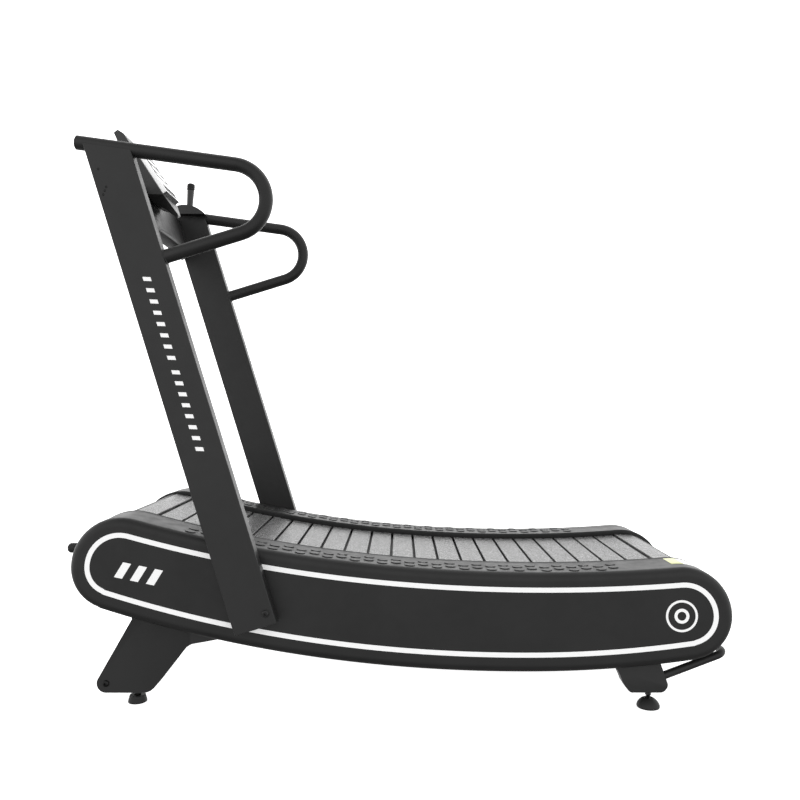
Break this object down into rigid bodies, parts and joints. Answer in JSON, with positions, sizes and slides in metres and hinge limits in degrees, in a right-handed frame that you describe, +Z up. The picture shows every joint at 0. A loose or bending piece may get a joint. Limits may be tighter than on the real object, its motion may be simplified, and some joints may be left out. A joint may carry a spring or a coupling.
{
  "type": "curved manual treadmill",
  "caption": "Unpowered curved treadmill: slat belt on a curved frame, side covers with foot rails, raked uprights, loop handrails, console and resistance lever.",
  "frame": {"origin": "on the floor, below the middle of the machine's length and width", "axes": "+X towards the rear, where the user steps on; +Y to the user's right; +Z up"},
  "size_m": [1.8363, 0.8452, 1.6774],
  "materials": {
    "cover_plastic": "black textured moulded plastic",
    "rail_grip": "raised oval rubber grip pads",
    "slat_belt": "speckled non-slip rubber slats",
    "black_paint": "black powder coat",
    "glide_plastic": "slippery white plastic",
    "steel": "turned steel",
    "lever_rod": "black coated steel",
    "aluminium": "machined aluminium",
    "rubber": "black rubber",
    "console_plastic": "black moulded plastic",
    "button_plastic": "dark grey push buttons",
    "screen": "pale display window"
  },
  "bodies": {
    "frame": {"side_cover_left": "cover_plastic", "side_cover_right": "cover_plastic", "rail_grip_left": "rail_grip", "rail_grip_right": "rail_grip", "slat_belt": "slat_belt", "frame_beam_left": "black_paint", "frame_beam_right": "black_paint", "cross_tube_front": "black_paint", "cross_tube_rear": "black_paint", "upright_bracket_left": "black_paint", "upright_bracket_right": "black_paint", "upright_left": "black_paint", "upright_right": "black_paint", "handrail_left": "black_paint", "handrail_right": "black_paint", "front_leg_left": "black_paint", "front_leg_right": "black_paint", "rear_leg_left": "black_paint", "rear_leg_right": "black_paint", "lifting_handle": "black_paint", "cross_panel": "black_paint", "glide_rail_left": "glide_plastic", "glide_rail_right": "glide_plastic", "front_bearing_left": "steel", "front_bearing_right": "steel", "rear_bearing_left": "steel", "rear_bearing_right": "steel", "wheel_axle_left": "steel", "wheel_axle_right": "steel", "upright_bolt_left": "steel", "upright_bolt_right": "steel", "front_bumper_left": "rubber", "front_bumper_right": "rubber", "handrail_cap_left": "rubber", "handrail_cap_right": "rubber", "console_housing": "console_plastic", "lever_housing": "console_plastic", "display_block": "console_plastic", "display_screen": "screen"},
    "front_axle": {"front_shaft": "steel", "front_drum": "aluminium", "brake_disc": "aluminium"},
    "rear_axle": {"rear_shaft": "steel", "rear_drum": "aluminium"},
    "lever": {"resistance_lever": "lever_rod", "lever_knob": "rubber"},
    "caliper": {"magnet_caliper": "aluminium"},
    "wheel_left": {"transport_wheel_left": "rubber"},
    "wheel_right": {"transport_wheel_right": "rubber"},
    "foot_front_left": {"foot_stud_front_left": "steel", "foot_pad_front_left": "rubber"},
    "foot_front_right": {"foot_stud_front_right": "steel", "foot_pad_front_right": "rubber"},
    "foot_rear_left": {"foot_stud_rear_left": "steel", "foot_pad_rear_left": "rubber"},
    "foot_rear_right": {"foot_stud_rear_right": "steel", "foot_pad_rear_right": "rubber"},
    "key_mode": {"button_mode": "button_plastic"},
    "key_reset": {"button_reset": "button_plastic"},
    "key_set": {"button_set": "button_plastic"}
  },
  "joints": [
    {"name": "front_axle_spin", "type": "hinge", "parent": "frame", "child": "front_axle", "pos_m": [-0.752, 0, 0.4005], "axis": [0, 1, 0], "continuous": true},
    {"name": "rear_axle_spin", "type": "hinge", "parent": "frame", "child": "rear_axle", "pos_m": [0.784, 0, 0.263], "axis": [0, 1, 0], "continuous": true},
    {"name": "lever_swing", "type": "hinge", "parent": "frame", "child": "lever", "pos_m": [-0.7506, 0.359, 1.5305], "axis": [0, 1, 0], "range_deg": [-35, 35]},
    {"name": "caliper_swing", "type": "hinge", "parent": "frame", "child": "caliper", "pos_m": [-0.6, 0.32, 0.36], "axis": [0, 1, 0], "range_deg": [-3.5, 3.5]},
    {"name": "wheel_spin_left", "type": "hinge", "parent": "frame", "child": "wheel_left", "pos_m": [-0.8035, -0.259, 0.056], "axis": [0, 1, 0], "continuous": true},
    {"name": "wheel_spin_right", "type": "hinge", "parent": "frame", "child": "wheel_right", "pos_m": [-0.8035, 0.259, 0.056], "axis": [0, 1, 0], "continuous": true},
    {"name": "foot_screw_front_left", "type": "slide", "parent": "frame", "child": "foot_front_left", "axis": [0, 0, -1], "range_m": [0, 0.012]},
    {"name": "foot_screw_front_right", "type": "slide", "parent": "frame", "child": "foot_front_right", "axis": [0, 0, -1], "range_m": [0, 0.012]},
    {"name": "foot_screw_rear_left", "type": "slide", "parent": "frame", "child": "foot_rear_left", "axis": [0, 0, -1], "range_m": [0, 0.012]},
    {"name": "foot_screw_rear_right", "type": "slide", "parent": "frame", "child": "foot_rear_right", "axis": [0, 0, -1], "range_m": [0, 0.012]},
    {"name": "press_mode", "type": "slide", "parent": "frame", "child": "key_mode", "axis": [-0.8382, 0, -0.5454], "range_m": [0, 0.0012], "stiffness_N_per_m": 400, "springref_m": -0.0006},
    {"name": "press_reset", "type": "slide", "parent": "frame", "child": "key_reset", "axis": [-0.8382, 0, -0.5454], "range_m": [0, 0.0012], "stiffness_N_per_m": 400, "springref_m": -0.0006},
    {"name": "press_set", "type": "slide", "parent": "frame", "child": "key_set", "axis": [-0.8382, 0, -0.5454], "range_m": [0, 0.0012], "stiffness_N_per_m": 400, "springref_m": -0.0006}
  ],
  "couplings": [
    {"joint": "rear_axle_spin", "follows": "front_axle_spin", "ratio": 1},
    {"joint": "caliper_swing", "follows": "lever_swing", "ratio": 0.1}
  ]
}
